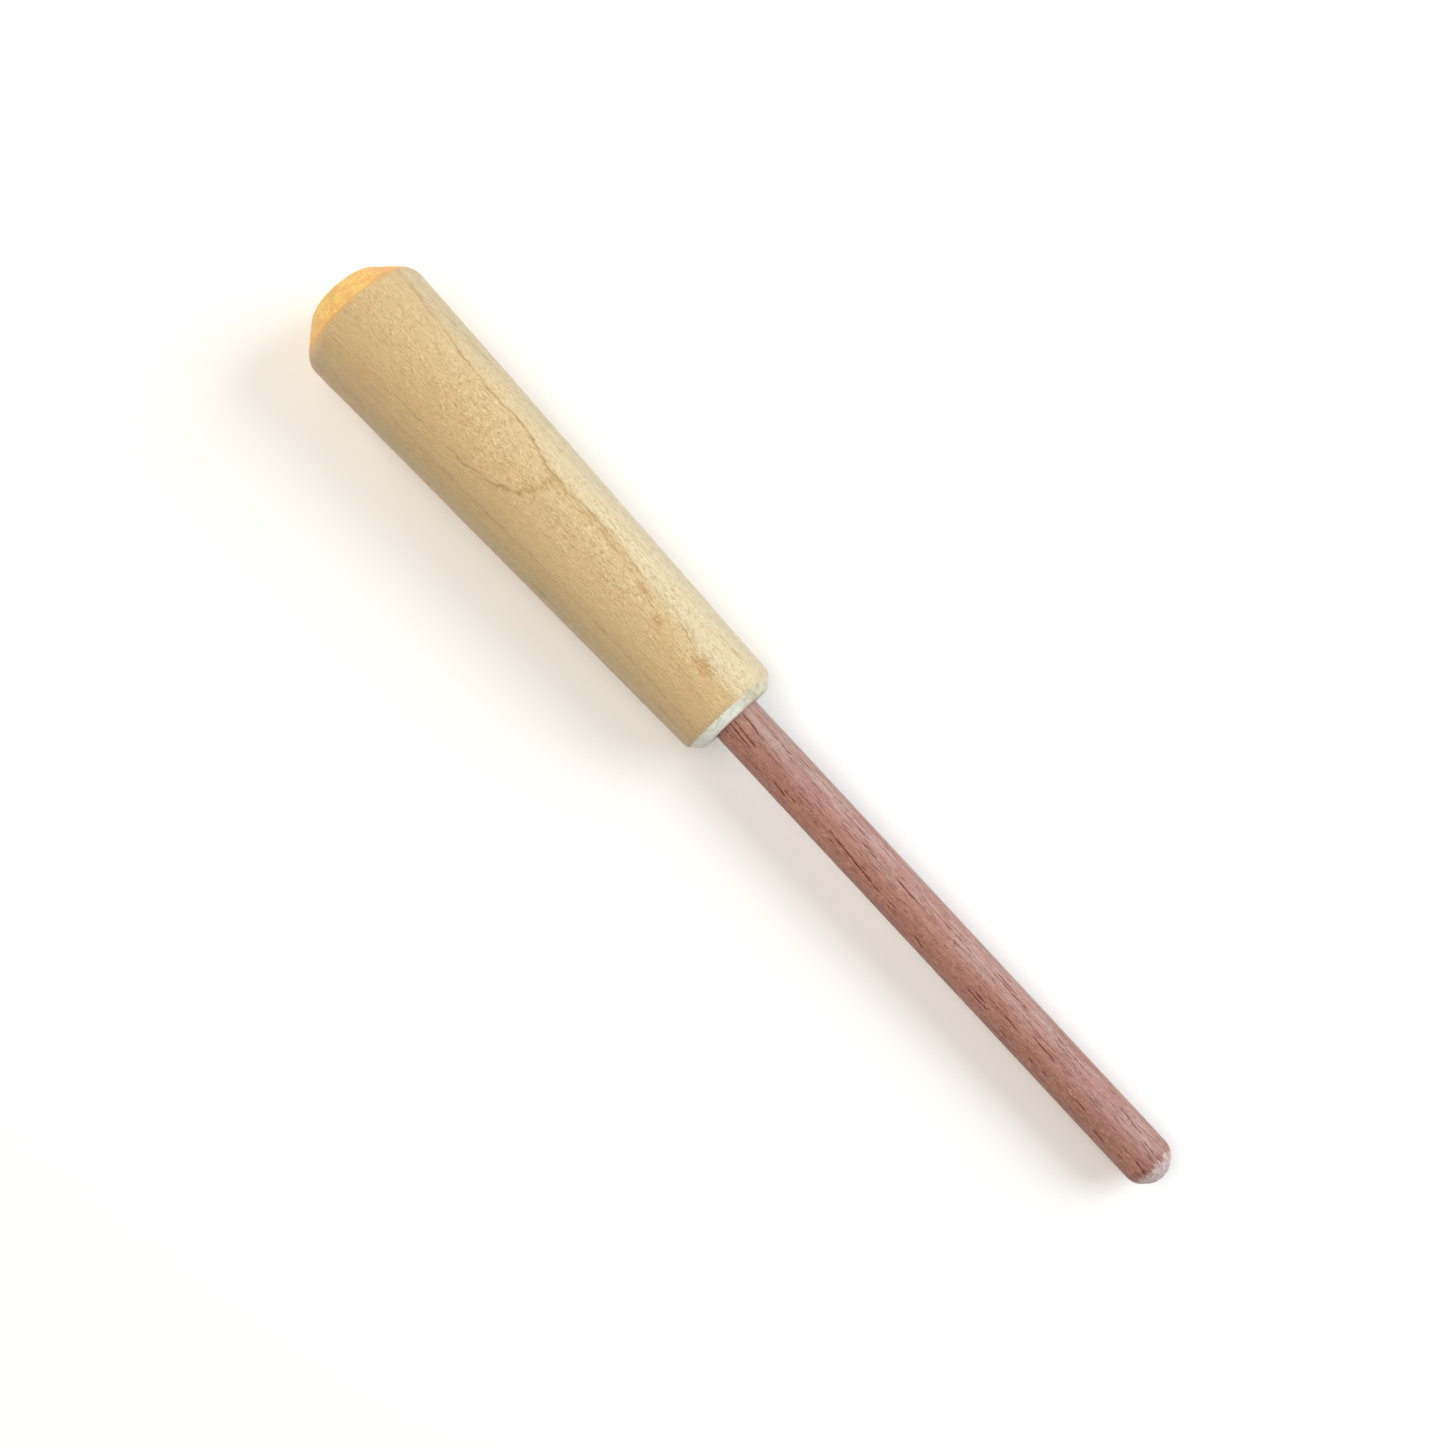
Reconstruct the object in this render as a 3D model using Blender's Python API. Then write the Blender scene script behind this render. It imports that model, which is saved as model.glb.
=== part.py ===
"""A one-hand wooden mallet: a turned, tapered maple head with a domed striking end, on a mahogany dowel.

Metres, +Z up. Each piece is turned about the mallet's own axis: local Z, from the shoulder plane (z = 0)
up through the head to the dome, and down through the handle to its tip. The mallet then lies on its side
as it would on a bench: the head's taper rests on the floor, and the handle's tip stands a little clear.
The world's origin is the centre of the bounding box at floor level, with +X towards the handle's tip.
"""

import math

import bmesh
import bpy
from mathutils import Vector

# Head
BUTT_RADIUS = 0.0175  # of the wide end, measured where the taper would meet the dome
NECK_RADIUS = 0.0134  # of the narrow end, measured where the taper would meet its chamfer
BODY_LENGTH = 0.1300  # of the straight taper, from chamfer to dome
NECK_CHAMFER_DEPTH = 0.0029
SHOULDER_RADIUS = 0.0105  # of the flat end face that the handle comes out of
NECK_ROUNDING = 0.0030
SHOULDER_ROUNDING = 0.0018

# Domed end: a steep chamfer from the rim, rounded over into a shallow crown
DOME_CHAMFER_HEIGHT = 0.0077
DOME_CHAMFER_RADIUS = 0.0096
CROWN_HEIGHT = 0.0094
CROWN_FLAT_RADIUS = 0.0031
RIM_ROUNDING = 0.0049
DOME_ROUNDING = 0.0056
CROWN_ROUNDING = 0.0140

# Handle: one half-inch dowel from the tip to the bottom of the bore
DOWEL_RADIUS = 0.00635
GRIP_LENGTH = 0.1489
TENON_LENGTH = 0.0500
TENON_CHAMFER = 0.0010
TIP_EASE_LENGTH = 0.0055
TIP_BEVEL_DEPTH = 0.0031
TIP_BEVEL_RADIUS = 0.00608
TIP_FLAT_RADIUS = 0.0024
TIP_ROUNDING = 0.0040

# Bore and glue: the film fills the space between dowel and bore, and pools behind the tenon
FIT_GAP = 0.0001
GLUE_THICKNESS = 0.0001
BORE_RADIUS = DOWEL_RADIUS + 2 * FIT_GAP + GLUE_THICKNESS
BORE_DEPTH = 0.0520
DRILL_POINT_ANGLE = math.radians(118)
GLUE_END_GAP = 0.0003
CUTTER_OVERRUN = 0.0030

# Turning
SIDES = 48
ARC_STEP = math.radians(15)
MERGE_DISTANCE = 1e-6
SHARP_ANGLE = math.radians(25)

# Lying on the taper: the axis slopes down towards the handle by the angle of the facets it rests on
FACET_APOTHEM = math.cos(math.pi / SIDES)
TAPER = (BUTT_RADIUS - NECK_RADIUS) / BODY_LENGTH
LYING_TILT = math.atan(TAPER * FACET_APOTHEM)
HEAD_LENGTH = NECK_CHAMFER_DEPTH + BODY_LENGTH + CROWN_HEIGHT


def wood_material(name, colour, roughness):
    """A plain Principled material that isn't metallic."""
    material = bpy.data.materials.new(name)
    material.use_nodes = True
    shader = material.node_tree.nodes["Principled BSDF"]
    shader.inputs["Base Color"].default_value = (*colour, 1.0)
    shader.inputs["Roughness"].default_value = roughness
    shader.inputs["Metallic"].default_value = 0.0
    material.diffuse_color = (*colour, 1.0)
    return material


def rounded_corner(before, corner, after, radius):
    """Points along an arc of the given radius that rounds off one corner of a profile."""
    to_before = (before - corner).normalized()
    to_after = (after - corner).normalized()
    half_angle = to_before.angle(to_after) / 2
    centre = corner + (to_before + to_after).normalized() * radius / math.sin(half_angle)
    start = corner + to_before * radius / math.tan(half_angle) - centre
    end = corner + to_after * radius / math.tan(half_angle) - centre
    turn = math.pi - 2 * half_angle
    steps = max(1, math.ceil(turn / ARC_STEP))
    points = []
    for step in range(steps + 1):
        along = step / steps
        blend = (
            start * math.sin((1 - along) * turn) + end * math.sin(along * turn)
        ) / math.sin(turn)
        points.append(centre + blend)
    return points


def rounded_profile(corners):
    """Turns (radius, height, rounding) corners into the points of a profile."""
    vectors = [Vector((radius, height)) for radius, height, _ in corners]
    points = [vectors[0]]
    for index in range(1, len(corners) - 1):
        rounding = corners[index][2]
        if rounding:
            points += rounded_corner(
                vectors[index - 1], vectors[index], vectors[index + 1], rounding
            )
        else:
            points.append(vectors[index])
    points.append(vectors[-1])
    return points


def turned(name, profile, material, axis):
    """Spins a profile that starts and ends on the axis into a closed solid, lying with the rest."""
    shape = bmesh.new()
    points = [shape.verts.new((point.x, 0, point.y)) for point in profile]
    lines = [shape.edges.new(pair) for pair in zip(points, points[1:])]
    bmesh.ops.spin(
        shape,
        geom=points + lines,
        cent=(0, 0, 0),
        axis=(0, 0, 1),
        angle=2 * math.pi,
        steps=SIDES,
        use_merge=True,
    )
    bmesh.ops.remove_doubles(shape, verts=shape.verts, dist=MERGE_DISTANCE)
    bmesh.ops.recalc_face_normals(shape, faces=shape.faces)
    mesh = bpy.data.meshes.new(name)
    shape.to_mesh(mesh)
    shape.free()
    mesh.shade_smooth()
    mesh.set_sharp_from_angle(angle=SHARP_ANGLE)
    if material:
        mesh.materials.append(material)
    piece = bpy.data.objects.new(name, mesh)
    piece.parent = axis
    # Half a facet round, so that the middle of a facet meets the floor and not an edge.
    piece.rotation_euler.z = math.pi / SIDES
    bpy.context.scene.collection.objects.link(piece)
    return piece


def lying_axis():
    """The mallet's axis, as an empty at the shoulder plane whose +Z runs through the head."""
    axis = bpy.data.objects.new("mallet_axis", None)
    axis.empty_display_size = DOWEL_RADIUS
    apothem_at_shoulder = (NECK_RADIUS - TAPER * NECK_CHAMFER_DEPTH) * FACET_APOTHEM
    axis.location.x = (HEAD_LENGTH - GRIP_LENGTH) * math.cos(LYING_TILT) / 2
    axis.location.z = apothem_at_shoulder * math.cos(LYING_TILT)
    axis.rotation_euler.y = LYING_TILT - math.pi / 2
    bpy.context.scene.collection.objects.link(axis)
    return axis


def head_profile():
    rim = NECK_CHAMFER_DEPTH + BODY_LENGTH
    return rounded_profile(
        [
            (0, HEAD_LENGTH, 0),
            (CROWN_FLAT_RADIUS, HEAD_LENGTH, CROWN_ROUNDING),
            (DOME_CHAMFER_RADIUS, rim + DOME_CHAMFER_HEIGHT, DOME_ROUNDING),
            (BUTT_RADIUS, rim, RIM_ROUNDING),
            (NECK_RADIUS, NECK_CHAMFER_DEPTH, NECK_ROUNDING),
            (SHOULDER_RADIUS, 0, SHOULDER_ROUNDING),
            (0, 0, 0),
        ]
    )


def bore_profile():
    drill_point = BORE_RADIUS / math.tan(DRILL_POINT_ANGLE / 2)
    return rounded_profile(
        [
            (0, BORE_DEPTH + drill_point, 0),
            (BORE_RADIUS, BORE_DEPTH, 0),
            (BORE_RADIUS, -CUTTER_OVERRUN, 0),
            (0, -CUTTER_OVERRUN, 0),
        ]
    )


def handle_profile():
    return rounded_profile(
        [
            (0, TENON_LENGTH, 0),
            (DOWEL_RADIUS - TENON_CHAMFER, TENON_LENGTH, 0),
            (DOWEL_RADIUS, TENON_LENGTH - TENON_CHAMFER, 0),
            (DOWEL_RADIUS, TIP_EASE_LENGTH - GRIP_LENGTH, 0),
            (TIP_BEVEL_RADIUS, TIP_BEVEL_DEPTH - GRIP_LENGTH, TIP_ROUNDING),
            (TIP_FLAT_RADIUS, -GRIP_LENGTH, TIP_ROUNDING),
            (0, -GRIP_LENGTH, 0),
        ]
    )


def glue_profile():
    """A cup: a sleeve round the tenon, closed by the pool of glue behind the tenon's end."""
    inside = DOWEL_RADIUS + FIT_GAP
    outside = inside + GLUE_THICKNESS
    pool_top = BORE_DEPTH - GLUE_END_GAP
    pool_bottom = TENON_LENGTH + GLUE_END_GAP
    return rounded_profile(
        [
            (0, pool_top, 0),
            (outside, pool_top, 0),
            (outside, GLUE_END_GAP, 0),
            (inside, GLUE_END_GAP, 0),
            (inside, TENON_LENGTH - TENON_CHAMFER + GLUE_END_GAP, 0),
            (inside - TENON_CHAMFER, pool_bottom, 0),
            (0, pool_bottom, 0),
        ]
    )


def build_head(axis):
    maple = wood_material("maple", (0.604, 0.423, 0.235), 0.62)
    head = turned("head", head_profile(), maple, axis)
    cutter = turned("bore_cutter", bore_profile(), None, axis)
    cutter.hide_render = True
    cutter.display_type = "WIRE"
    bore = head.modifiers.new("bore", "BOOLEAN")
    bore.operation = "DIFFERENCE"
    bore.solver = "EXACT"
    bore.object = cutter
    return head


def build_handle(axis):
    mahogany = wood_material("mahogany", (0.352, 0.184, 0.142), 0.55)
    return turned("handle", handle_profile(), mahogany, axis)


def build_glue(axis):
    cured_glue = wood_material("cured_glue", (0.610, 0.500, 0.270), 0.35)
    return turned("glue_line", glue_profile(), cured_glue, axis)


for old_object in list(bpy.data.objects):
    bpy.data.objects.remove(old_object, do_unlink=True)

mallet_axis = lying_axis()
build_head(mallet_axis)
build_handle(mallet_axis)
build_glue(mallet_axis)
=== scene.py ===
"""The wooden mallet's looks: fine turned surfaces, procedural maple and mahogany, soft studio light.

Every piece is turned about the mallet's own axis. In a piece's own coordinates that axis is Z, with
z = 0 at the head's flat shoulder, the dome at +Z, the handle's tip at -Z, and +X facing up as it lies.
"""

import math

import bpy
import numpy as np
from mathutils import Matrix, Vector


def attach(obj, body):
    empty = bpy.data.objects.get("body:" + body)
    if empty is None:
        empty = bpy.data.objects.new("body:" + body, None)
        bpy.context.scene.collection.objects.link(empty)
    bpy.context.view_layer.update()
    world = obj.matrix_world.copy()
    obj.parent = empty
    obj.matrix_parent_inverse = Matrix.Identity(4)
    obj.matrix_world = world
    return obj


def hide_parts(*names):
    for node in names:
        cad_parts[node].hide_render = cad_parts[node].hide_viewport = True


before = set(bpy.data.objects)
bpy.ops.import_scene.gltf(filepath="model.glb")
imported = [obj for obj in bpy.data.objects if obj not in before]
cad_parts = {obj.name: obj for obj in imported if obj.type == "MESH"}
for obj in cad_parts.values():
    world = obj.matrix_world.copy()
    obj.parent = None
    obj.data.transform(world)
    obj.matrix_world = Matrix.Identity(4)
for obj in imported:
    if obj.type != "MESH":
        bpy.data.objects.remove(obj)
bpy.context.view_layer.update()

MM = 0.001

# Sizes of the CAD model, in metres
BUTT_RADIUS = 0.0175
NECK_RADIUS = 0.0134
BODY_LENGTH = 0.1300
NECK_CHAMFER_DEPTH = 0.0029
SHOULDER_RADIUS = 0.0105
NECK_ROUNDING = 0.0030
SHOULDER_ROUNDING = 0.0018
DOME_CHAMFER_HEIGHT = 0.0077
DOME_CHAMFER_RADIUS = 0.0096
CROWN_HEIGHT = 0.0094
CROWN_FLAT_RADIUS = 0.0031
RIM_ROUNDING = 0.0049
DOME_ROUNDING = 0.0056
CROWN_ROUNDING = 0.0140
DOWEL_RADIUS = 0.00635
GRIP_LENGTH = 0.1489
TENON_LENGTH = 0.0500
TENON_CHAMFER = 0.0010
TIP_EASE_LENGTH = 0.0055
TIP_BEVEL_DEPTH = 0.0031
TIP_BEVEL_RADIUS = 0.00608
TIP_FLAT_RADIUS = 0.0024
TIP_ROUNDING = 0.0040
BORE_RADIUS = 0.00665
BORE_DEPTH = 0.0520
DRILL_POINT_DEPTH = 0.0040
GLUE_INSIDE = 0.00645
GLUE_OUTSIDE = 0.00655
GLUE_END_GAP = 0.0003
CAD_SIDES = 48

CAD_FACET_APOTHEM = math.cos(math.pi / CAD_SIDES)
RIM_HEIGHT = NECK_CHAMFER_DEPTH + BODY_LENGTH
HEAD_LENGTH = RIM_HEIGHT + CROWN_HEIGHT
TAPER = (BUTT_RADIUS - NECK_RADIUS) / BODY_LENGTH
LYING_TILT = math.atan(TAPER * CAD_FACET_APOTHEM)

# Fineness of the turned surfaces
ARC_STEP = math.radians(4)
HEAD_SIDES = 332  # with HEAD_STEP, this keeps the head under 196,000 triangles
HANDLE_SIDES = 320
GLUE_SIDES = 64
HEAD_STEP = 0.62 * MM
HANDLE_STEP = 0.56 * MM
HIDDEN_STEP = 12 * MM
HIDDEN_SHARE = 0.1  # of their length, which the hidden surfaces get in the unrolled map
FINE_INTO_BORE = 1 * MM  # how far the handle's fine surface runs on past the shoulder


# ---------------------------------------------------------------- turned meshes


def rounded_profile(corners):
    """Turns (radius, height, rounding) corners into the points of a smooth profile."""
    vectors = [Vector((radius, height)) for radius, height, _ in corners]
    points = [vectors[0]]
    for before, corner, after, (_, _, rounding) in zip(vectors, vectors[1:], vectors[2:], corners[1:]):
        if not rounding:
            points.append(corner)
            continue
        to_before = (before - corner).normalized()
        to_after = (after - corner).normalized()
        half_angle = to_before.angle(to_after) / 2
        centre = corner + (to_before + to_after).normalized() * rounding / math.sin(half_angle)
        start = corner + to_before * rounding / math.tan(half_angle) - centre
        end = corner + to_after * rounding / math.tan(half_angle) - centre
        turn = math.pi - 2 * half_angle
        steps = math.ceil(turn / ARC_STEP)
        for step in range(steps + 1):
            angle = turn * step / steps
            spoke = (start * math.sin(turn - angle) + end * math.sin(angle)) / math.sin(turn)
            points.append(centre + spoke)
    points.append(vectors[-1])
    return points


def stepped(points, step):
    """Adds points so that none are further apart than step."""
    out = [points[0]]
    for start, end in zip(points, points[1:]):
        count = max(1, math.ceil((end - start).length / step))
        out += [start.lerp(end, index / count) for index in range(1, count + 1)]
    return out


def eased(share):
    """A share from 0 to 1, levelled out at both ends."""
    return share * share * (3 - 2 * share)


class Noise:
    """Smooth random numbers over a turned surface, which meet where they come full circle."""

    def __init__(self, seed):
        self.random = np.random.default_rng(seed)

    def layer(self, turn, height, around, length):
        """Values from -1 to 1, with the given number of cells around and cells of that length along."""
        rows = int(math.ceil((height.max() - height.min()) / length)) + 2
        grid = self.random.uniform(-1, 1, (rows + 1, around))
        across = turn * around
        along = (height - height.min()) / length
        column = np.floor(across).astype(int)
        row = np.floor(along).astype(int)
        rightness = eased(across - column)
        highness = eased(along - row)
        left = column % around
        right = (column + 1) % around
        low = grid[row, left] * (1 - rightness) + grid[row, right] * rightness
        high = grid[row + 1, left] * (1 - rightness) + grid[row + 1, right] * rightness
        return low * (1 - highness) + high * highness


def joined_profile(stretches):
    """The points of all stretches, and how far along the unrolled map each is, from 0 to 1."""
    points = []
    lengths = []
    for corners, step, share in stretches:
        finer = stepped(corners, step)
        lengths += [(end - start).length * share for start, end in zip(finer, finer[1:])]
        points += finer[1:] if points else finer
    along = np.concatenate([[0], np.cumsum(lengths)]) / sum(lengths)
    return np.array([tuple(point) for point in points]), along


def spun_points(profile, sides, relief):
    """The surface's points, ring by ring and then the two on the axis, and its attributes."""
    tangent = np.gradient(profile, axis=0)
    tangent /= np.linalg.norm(tangent, axis=1)[:, None]
    rings = profile[1:-1]
    turn, height = np.meshgrid(np.arange(sides) / sides, rings[:, 1])
    radius = np.repeat(rings[:, 0][:, None], sides, axis=1)
    attributes = {}
    if relief:
        normal_out = -tangent[1:-1, 1][:, None]
        normal_up = tangent[1:-1, 0][:, None]
        raised, attributes = relief(turn, height, radius)
        radius = radius + raised * normal_out
        height = height + raised * normal_up
    angle = 2 * math.pi * turn + math.pi
    ring_points = np.stack([radius * np.cos(angle), radius * np.sin(angle), height], axis=-1)
    poles = [[0, 0, profile[0, 1]], [0, 0, profile[-1, 1]]]
    return np.concatenate([ring_points.reshape(-1, 3), poles]), attributes


def spun_faces(ring_count, sides):
    """Quads from each ring to the next, and a fan of triangles round each end's point on the axis."""
    here = np.arange(sides)
    there = (here + 1) % sides
    faces = []
    for ring in range(ring_count - 1):
        upper = ring * sides
        lower = upper + sides
        faces += np.stack([upper + here, lower + here, lower + there, upper + there], axis=1).tolist()
    last_ring = (ring_count - 1) * sides
    first_pole = np.full(sides, ring_count * sides)
    last_pole = first_pole + 1
    faces += np.stack([first_pole, here, there], axis=1).tolist()
    faces += np.stack([last_ring + here, last_pole, last_ring + there], axis=1).tolist()
    return faces


def unrolled_map(along, sides):
    """The unrolled side as a texture map, so that a baked texture has one seam, out of sight."""
    left = np.arange(sides) / sides
    right = (np.arange(sides) + 1) / sides
    middle = (left + right) / 2
    ring_heights = 1 - along[1:-1]
    corners = []
    for upper, lower in zip(ring_heights, ring_heights[1:]):
        top = np.full(sides, upper)
        bottom = np.full(sides, lower)
        corners.append(np.stack([left, top, left, bottom, right, bottom, right, top], axis=1))
    top = np.full(sides, ring_heights[0])
    bottom = np.full(sides, ring_heights[-1])
    corners.append(np.stack([middle, np.ones(sides), left, top, right, top], axis=1))
    corners.append(np.stack([left, bottom, middle, np.zeros(sides), right, bottom], axis=1))
    return np.concatenate([part.ravel() for part in corners])


def turned_mesh(name, stretches, sides, relief=None):
    """Spins a profile about Z, from its point on the axis at the +Z end to the one at the -Z end.

    A stretch is its points, the longest step between them, and its share of the unrolled map. The
    seam of that map faces the floor. relief takes the surface as arrays of turn (0 to 1), height
    and radius, and returns how far each point stands out along its normal, and its attributes.
    """
    profile, along = joined_profile(stretches)
    points, attributes = spun_points(profile, sides, relief)
    mesh = bpy.data.meshes.new(name)
    mesh.from_pydata(points.tolist(), [], spun_faces(len(profile) - 2, sides))
    for key, values in attributes.items():
        layer = mesh.attributes.new(key, "FLOAT", "POINT")
        at_poles = [0, 0]
        layer.data.foreach_set("value", np.concatenate([values.ravel(), at_poles]).astype(np.float32))
    unrolled = mesh.uv_layers.new(name="OFBake")
    unrolled.data.foreach_set("uv", unrolled_map(along, sides).astype(np.float32))
    mesh.shade_smooth()
    return mesh


def lying_matrix():
    """From a piece's own coordinates to the frame: it lies on the taper of its head."""
    apothem_at_shoulder = (NECK_RADIUS - TAPER * NECK_CHAMFER_DEPTH) * CAD_FACET_APOTHEM
    place = Vector(
        (
            (HEAD_LENGTH - GRIP_LENGTH) * math.cos(LYING_TILT) / 2,
            0,
            apothem_at_shoulder * math.cos(LYING_TILT),
        )
    )
    return Matrix.Translation(place) @ Matrix.Rotation(LYING_TILT - math.pi / 2, 4, "Y")


def add_piece(name, mesh, material, node):
    """Puts a piece in place of its CAD node, on the mallet's one body."""
    mesh.materials.append(material)
    piece = bpy.data.objects.new(name, mesh)
    bpy.context.scene.collection.objects.link(piece)
    piece.matrix_world = lying_matrix()
    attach(piece, "root")
    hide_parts(node)
    return piece


# ---------------------------------------------------------------- node helpers


class Shading:
    """A material's node tree, with one short call for each kind of node that is used here."""

    def __init__(self, name):
        self.material = bpy.data.materials.new(name)
        self.material.use_nodes = True
        self.tree = self.material.node_tree
        self.shader = self.tree.nodes["Principled BSDF"]

    def add(self, kind, settings=(), **inputs):
        node = self.tree.nodes.new(kind)
        for key, value in dict(settings).items():
            setattr(node, key, value)
        for key, value in inputs.items():
            self.feed(node.inputs[key.replace("_", " ")], value)
        return node

    def feed(self, socket, value):
        if isinstance(value, bpy.types.NodeSocket):
            self.tree.links.new(value, socket)
        else:
            socket.default_value = value

    def maths(self, operation, *values):
        node = self.add("ShaderNodeMath", {"operation": operation})
        for socket, value in zip(node.inputs, values):
            self.feed(socket, value)
        return node.outputs[0]

    def times(self, first, *others):
        for other in others:
            first = self.maths("MULTIPLY", first, other)
        return first

    def largest(self, first, *others):
        for other in others:
            first = self.maths("MAXIMUM", first, other)
        return first

    def distance(self, first, second):
        """How far apart two numbers are."""
        return self.maths("ABSOLUTE", self.maths("SUBTRACT", first, second))

    def vector(self, operation, *values):
        node = self.add("ShaderNodeVectorMath", {"operation": operation})
        for socket, value in zip(node.inputs, values):
            self.feed(socket, value)
        return node.outputs["Value" if operation == "LENGTH" else "Vector"]

    def split(self, place):
        node = self.add("ShaderNodeSeparateXYZ", Vector=place)
        return node.outputs["X"], node.outputs["Y"], node.outputs["Z"]

    def millimetres(self):
        """The point on the piece, in its own coordinates, in millimetres."""
        place = self.add("ShaderNodeTexCoord").outputs["Object"]
        return self.vector("MULTIPLY", place, (1000, 1000, 1000))

    def noise(self, place, scale, detail=2.0, roughness=0.5, distortion=0.0, output="Fac"):
        """Noise with a separate number of cells per millimetre along each axis."""
        node = self.add(
            "ShaderNodeTexNoise",
            Vector=self.vector("MULTIPLY", place, scale),
            Scale=1.0,
            Detail=detail,
            Roughness=roughness,
            Distortion=distortion,
        )
        return node.outputs[output]

    def shaken(self, place, by, reach, scale, detail=2.0):
        """The place moved by noise at another place, at that scale, up to half of reach either way."""
        colour = self.noise(by, scale, detail=detail, output="Color")
        shift = self.vector("MULTIPLY", self.vector("SUBTRACT", colour, (0.5, 0.5, 0.5)), reach)
        return self.vector("ADD", place, shift)

    def between(self, value, low, high, low_to=0.0, high_to=1.0):
        """A smooth step from low_to to high_to as value goes from low to high."""
        node = self.add("ShaderNodeMapRange", {"interpolation_type": "SMOOTHSTEP"})
        for socket, given in zip(node.inputs, (value, low, high, low_to, high_to)):
            self.feed(socket, given)
        return node.outputs["Result"]

    def window(self, value, rise, fall):
        """1 from the end of rise to the start of fall, and 0 outside them."""
        return self.times(self.between(value, *rise), self.between(value, *fall, 1.0, 0.0))

    def blend(self, share, first, second):
        node = self.add("ShaderNodeMix", {"data_type": "RGBA", "blend_type": "MIX"})
        colours = [socket for socket in node.inputs if socket.type == "RGBA"]
        self.feed(node.inputs[0], share)
        self.feed(colours[0], first if isinstance(first, bpy.types.NodeSocket) else (*first, 1))
        self.feed(colours[1], second if isinstance(second, bpy.types.NodeSocket) else (*second, 1))
        return [socket for socket in node.outputs if socket.type == "RGBA"][0]

    def attribute(self, name):
        return self.add("ShaderNodeAttribute", {"attribute_name": name}).outputs["Fac"]

    def bump(self, height, distance):
        node = self.add("ShaderNodeBump", Height=height, Strength=1.0, Distance=distance)
        return node.outputs["Normal"]


# ---------------------------------------------------------------- head

PITH_MM = (-19.0, 0.6)  # the tree's centre, just outside the head and below it as it lies
RING_MM = 1.87
FIRST_RING_MM = 32.83
DOME_EDGE_MM = 133.35
CHAMFER_EDGE_MM = 2.45
TOOL_MARK_MM = 85.7
BLOTCH_MM = (12.8, 2.5, 13.8)
BLOTCH_SIZE_MM = (6.0, 2.7, 4.4)
KNOTS_MM = [(13.0, 2.1, 28.8), (13.0, 4.7, 36.4)]
KNOT_SIZE_MM = (6.0, 1.2, 3.6)
STROKE_END_MM = 1.5  # over which a stroke fades out
# Short dark lines on the side that lies up: where each starts and ends (y, z in mm), width, darkness
FIGURE_STROKES = [
    ((15.2, 129.5), (14.9, 98.0), 0.26, 0.30),
    ((12.4, 121.8), (12.1, 116.5), 0.30, 0.65),
    ((10.9, 120.6), (10.8, 117.4), 0.25, 0.50),
    ((5.3, 132.5), (5.7, 123.0), 0.30, 0.45),
    ((7.7, 62.0), (8.5, 49.0), 0.45, 0.60),
    ((7.1, 55.0), (6.0, 46.5), 0.40, 0.65),
    ((5.6, 40.0), (2.4, 28.0), 0.30, 0.60),
    ((9.6, 33.4), (9.7, 28.4), 0.40, 0.80),
    ((6.0, 27.5), (4.4, 18.0), 0.38, 1.00),
    ((10.7, 21.5), (10.4, 6.5), 0.22, 0.50),
    ((-11.6, 16.0), (-11.5, 5.5), 0.28, 0.65),
    ((-14.3, 70.0), (-13.4, 40.0), 0.30, 0.50),
]


def head_profile():
    return rounded_profile(
        [
            (0, HEAD_LENGTH, 0),
            (CROWN_FLAT_RADIUS, HEAD_LENGTH, CROWN_ROUNDING),
            (DOME_CHAMFER_RADIUS, RIM_HEIGHT + DOME_CHAMFER_HEIGHT, DOME_ROUNDING),
            (BUTT_RADIUS, RIM_HEIGHT, RIM_ROUNDING),
            (NECK_RADIUS, NECK_CHAMFER_DEPTH, NECK_ROUNDING),
            (SHOULDER_RADIUS, 0, SHOULDER_ROUNDING),
            (BORE_RADIUS, 0, 0),
        ]
    )


def bore_profile():
    corners = [
        (BORE_RADIUS, 0),
        (BORE_RADIUS, BORE_DEPTH),
        (0, BORE_DEPTH + DRILL_POINT_DEPTH),
    ]
    return [Vector(corner) for corner in corners]


def head_relief(turn, height, radius):
    """Hand-sanded turning: long shallow waves, rougher where the fibres are cut across at the edges."""
    noise = Noise(seed=11)
    roughened_part = radius > BORE_RADIUS * 1.02  # neither the bore nor the very middle of the dome
    waves = 0.035 * noise.layer(turn, height, 7, 24 * MM) + 0.015 * noise.layer(turn, height, 17, 9 * MM)
    fibres = 0.008 * noise.layer(turn, height, 170, 4 * MM)
    on_dome = np.clip((height - RIM_HEIGHT - 1 * MM) / (2 * MM), 0, 1)
    flats = 0.06 * noise.layer(turn, height, 9, 5 * MM) * on_dome
    near_rim = np.exp(-(((height - RIM_HEIGHT) / (0.9 * MM)) ** 2))
    near_chamfer = np.exp(-(((height - NECK_CHAMFER_DEPTH) / (0.5 * MM)) ** 2))
    nibbles = 0.035 * noise.layer(turn, height, 90, 1.2 * MM) * (near_rim + near_chamfer)
    return (waves + fibres + flats + nibbles) * roughened_part * MM, {}


def growth_rings(s, place):
    """The rings all round the head: how dark their lines are here, and a number for each ring's tone."""
    moved = s.shaken(place, place, (4.0, 4.0, 0.0), (0.045, 0.045, 0.014))
    moved = s.shaken(moved, place, (0.7, 0.7, 0.0), (0.8, 0.8, 0.25))
    from_pith = s.vector("MULTIPLY", s.vector("SUBTRACT", moved, (*PITH_MM, 0.0)), (1, 1, 0))
    ring = s.maths("SUBTRACT", s.vector("LENGTH", from_pith), FIRST_RING_MM)
    ring = s.maths("DIVIDE", ring, RING_MM)
    line = s.window(s.maths("FRACT", ring), (0.86, 0.95), (0.97, 1.0))
    tone = s.add("ShaderNodeTexWhiteNoise", {"noise_dimensions": "1D"})
    s.feed(tone.inputs["W"], s.maths("FLOOR", ring))
    return line, tone.outputs["Value"]


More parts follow.
